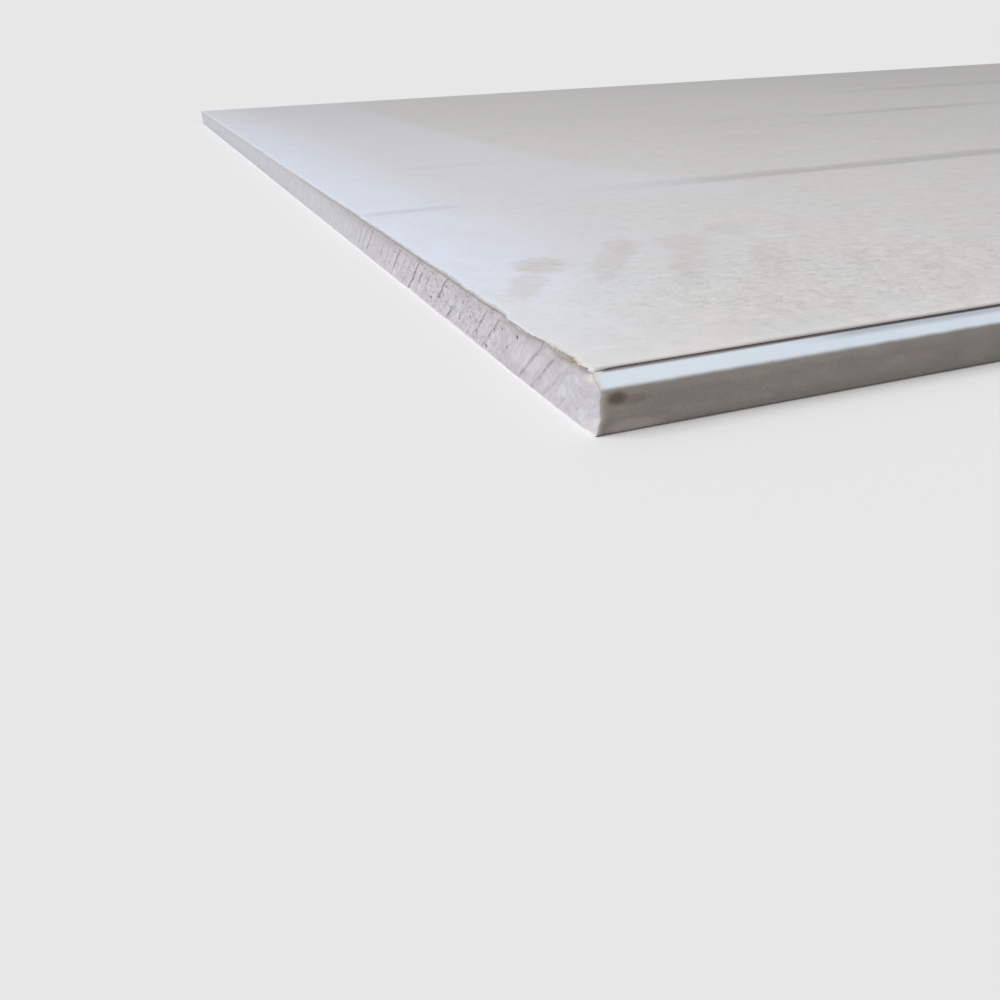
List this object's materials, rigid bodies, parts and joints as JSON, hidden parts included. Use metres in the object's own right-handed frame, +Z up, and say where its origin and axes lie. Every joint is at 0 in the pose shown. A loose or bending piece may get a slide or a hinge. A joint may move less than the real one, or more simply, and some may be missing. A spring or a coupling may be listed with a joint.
{
  "type": "drywall sheet",
  "caption": "Square-edge plasterboard sheet: gypsum core, face paper wrapped round the bevelled long edges, back paper over the folds.",
  "frame": {"origin": "middle of the decorating face, which is the underside of the sheet as it lies", "axes": "+X along the long edges, +Y across the sheet, +Z up from the decorating face to the back"},
  "size_m": [1.8, 0.9, 0.0125],
  "materials": {
    "gypsum": "sawn, matt and porous",
    "face_liner": "matt, lightly calendered",
    "back_liner": "matt, fibrous, dusty"
  },
  "bodies": {
    "root": {"gypsum_core": "gypsum", "face_paper": "face_liner", "back_paper": "back_liner"}
  },
  "joints": []
}
